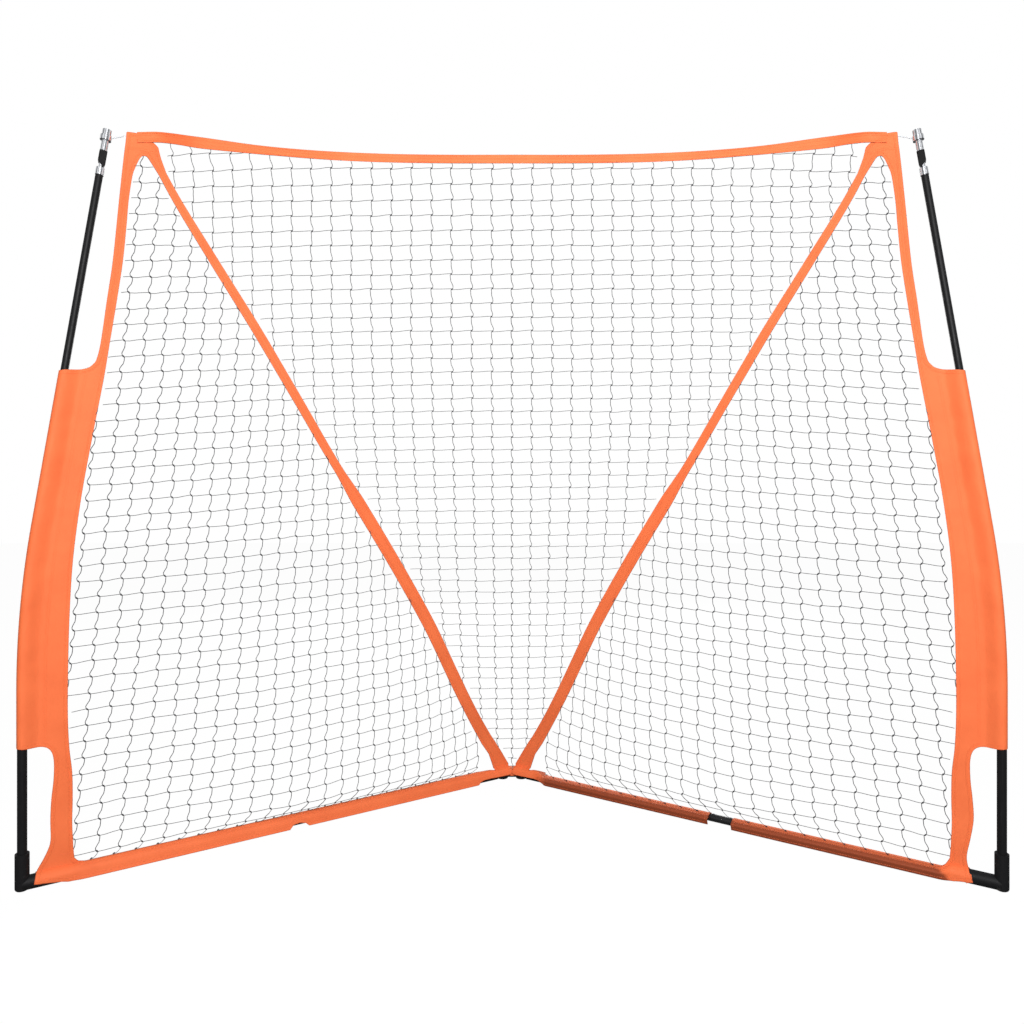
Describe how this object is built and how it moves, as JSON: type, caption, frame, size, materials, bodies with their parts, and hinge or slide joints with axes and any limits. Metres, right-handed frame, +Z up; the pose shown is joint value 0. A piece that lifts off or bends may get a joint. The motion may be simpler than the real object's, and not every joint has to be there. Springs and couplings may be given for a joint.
{
  "type": "portable lacrosse goal",
  "caption": "Portable six-foot goal: bowed side poles in corner boots, folding V base and fabric-edged mesh panels that run down to one rear hub.",
  "frame": {"origin": "on the ground at the centre of the footprint's box", "axes": "+Z up, the mouth faces -Y and the rear hub lies at +Y, X runs across the mouth"},
  "size_m": [2.28, 0.733, 1.787],
  "materials": {
    "orange_fabric": "woven polyester, matt with a soft sheen",
    "net_twine": "knotted polyester twine, matt",
    "pole_fibreglass": "black coated fibreglass, satin",
    "boot_plastic": "moulded black nylon, fine texture",
    "tube_black": "black powder coat, satin",
    "bright_steel": "bright zinc-plated steel",
    "clear_cord": "pale translucent monofilament"
  },
  "bodies": {
    "hub": {"rear_hub": "boot_plastic", "hub_pins": "bright_steel", "hub_nuts": "bright_steel", "left_top_rail": "orange_fabric", "right_top_rail": "orange_fabric", "left_back_net": "net_twine", "right_back_net": "net_twine", "apex_patch": "orange_fabric"},
    "left_leg": {"left_corner_boot": "boot_plastic", "left_pole_lower": "pole_fibreglass", "left_pole_middle": "pole_fibreglass", "left_pole_upper": "pole_fibreglass", "left_pole_ferrule": "bright_steel", "left_tip_ferrule": "bright_steel", "left_tip_clip": "boot_plastic", "left_tip_tube": "bright_steel", "left_tip_collar": "bright_steel", "left_tip_cord": "clear_cord", "left_front_tube": "tube_black", "left_rear_tube": "tube_black", "left_leg_coupler": "bright_steel", "left_button_spring": "bright_steel", "left_leg_rivets": "bright_steel", "left_hub_arm": "boot_plastic", "left_post_strip": "orange_fabric", "left_corner_patch": "orange_fabric", "left_diagonal_strip": "orange_fabric", "left_side_net": "net_twine", "left_base_strip_front": "orange_fabric", "left_base_strip_rear": "orange_fabric"},
    "left_button": {"left_snap_button": "bright_steel"},
    "right_leg": {"right_corner_boot": "boot_plastic", "right_pole_lower": "pole_fibreglass", "right_pole_middle": "pole_fibreglass", "right_pole_upper": "pole_fibreglass", "right_pole_ferrule": "bright_steel", "right_tip_ferrule": "bright_steel", "right_tip_clip": "boot_plastic", "right_tip_tube": "bright_steel", "right_tip_collar": "bright_steel", "right_tip_cord": "clear_cord", "right_front_tube": "tube_black", "right_rear_tube": "tube_black", "right_leg_coupler": "bright_steel", "right_button_spring": "bright_steel", "right_leg_rivets": "bright_steel", "right_hub_arm": "boot_plastic", "right_post_strip": "orange_fabric", "right_corner_patch": "orange_fabric", "right_diagonal_strip": "orange_fabric", "right_side_net": "net_twine", "right_base_strip_front": "orange_fabric", "right_base_strip_rear": "orange_fabric"},
    "right_button": {"right_snap_button": "bright_steel"}
  },
  "joints": [
    {"name": "left_leg_fold", "type": "hinge", "parent": "hub", "child": "left_leg", "pos_m": [-0.02972, 0.33001, 0.0165], "axis": [0, 0, 1], "range_deg": [0, 57], "deforming": ["left_top_rail", "left_back_net"]},
    {"name": "right_leg_fold", "type": "hinge", "parent": "hub", "child": "right_leg", "pos_m": [0.02972, 0.33001, 0.0165], "axis": [0, 0, -1], "range_deg": [0, 57], "deforming": ["right_top_rail", "right_back_net"]},
    {"name": "left_button_press", "type": "slide", "parent": "left_leg", "child": "left_button", "axis": [0.5283, -0.8491, 0], "range_m": [0, 0.0038], "stiffness_N_per_m": 800, "deforming": ["left_button_spring"]},
    {"name": "right_button_press", "type": "slide", "parent": "right_leg", "child": "right_button", "axis": [-0.5283, -0.8491, 0], "range_m": [0, 0.0038], "stiffness_N_per_m": 800, "deforming": ["right_button_spring"]}
  ]
}
